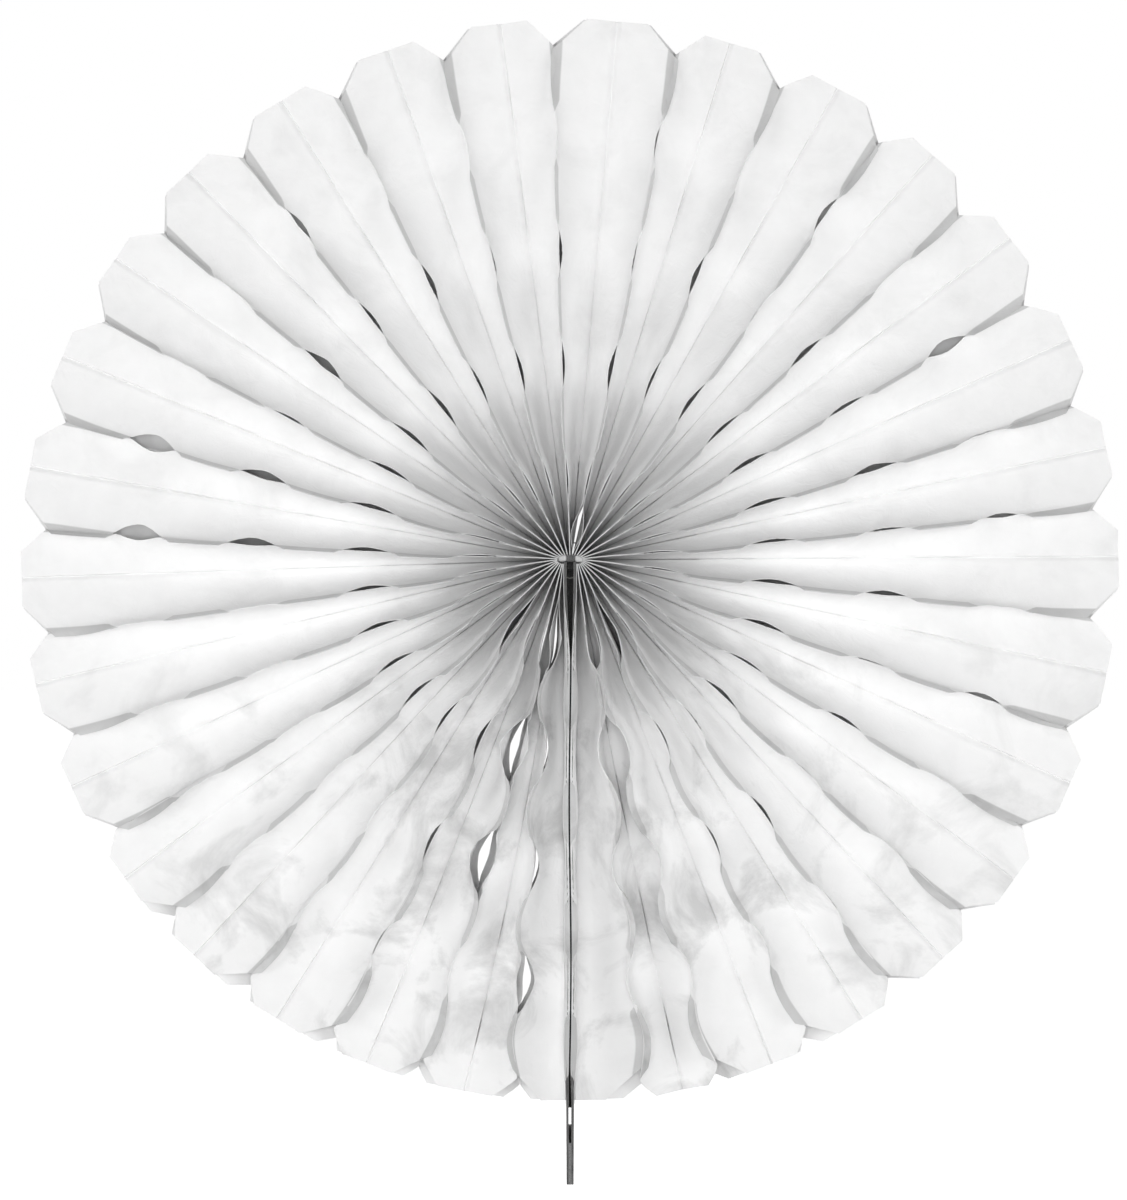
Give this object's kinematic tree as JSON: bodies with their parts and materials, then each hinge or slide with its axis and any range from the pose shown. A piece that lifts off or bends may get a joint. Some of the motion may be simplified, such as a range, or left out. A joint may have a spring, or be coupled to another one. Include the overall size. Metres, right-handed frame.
{
  "type": "paper fan rosette",
  "caption": "Round hanging fan of white tissue paper, its notched honeycomb pleats opened to a full circle and held by card strips.",
  "frame": {"origin": "centre of the hang hole through the card strips near their outer end; the disc's centre is 245 mm above it", "axes": "+Z from the hang hole up to the disc's centre, -Y towards the side that the picture shows, +X to the right as seen from that side"},
  "size_m": [0.4538, 0.05, 0.4813],
  "materials": {
    "tissue": "matte white tissue paper",
    "card": "matte grey board edge",
    "adhesive": "matte foam",
    "thread": "matte cotton"
  },
  "bodies": {
    "root": {"tissue_cell_01": "tissue", "tissue_cell_02": "tissue", "tissue_cell_03": "tissue", "tissue_cell_04": "tissue", "tissue_cell_05": "tissue", "tissue_cell_06": "tissue", "tissue_cell_07": "tissue", "tissue_cell_08": "tissue", "tissue_cell_09": "tissue", "tissue_cell_10": "tissue", "tissue_cell_11": "tissue", "tissue_cell_12": "tissue", "tissue_cell_13": "tissue", "tissue_cell_14": "tissue", "tissue_cell_15": "tissue", "tissue_cell_16": "tissue", "tissue_cell_17": "tissue", "tissue_cell_18": "tissue", "tissue_cell_19": "tissue", "tissue_cell_20": "tissue", "tissue_cell_21": "tissue", "tissue_cell_22": "tissue", "tissue_cell_23": "tissue", "tissue_cell_24": "tissue", "tissue_cell_25": "tissue", "tissue_cell_26": "tissue", "tissue_cell_27": "tissue", "tissue_cell_28": "tissue", "tissue_cell_29": "tissue", "tissue_cell_30": "tissue", "tissue_cell_31": "tissue", "card_strip_left": "card", "card_strip_right": "card", "adhesive_pad": "adhesive", "adhesive_strip": "adhesive", "tie_thread": "thread"}
  },
  "joints": []
}
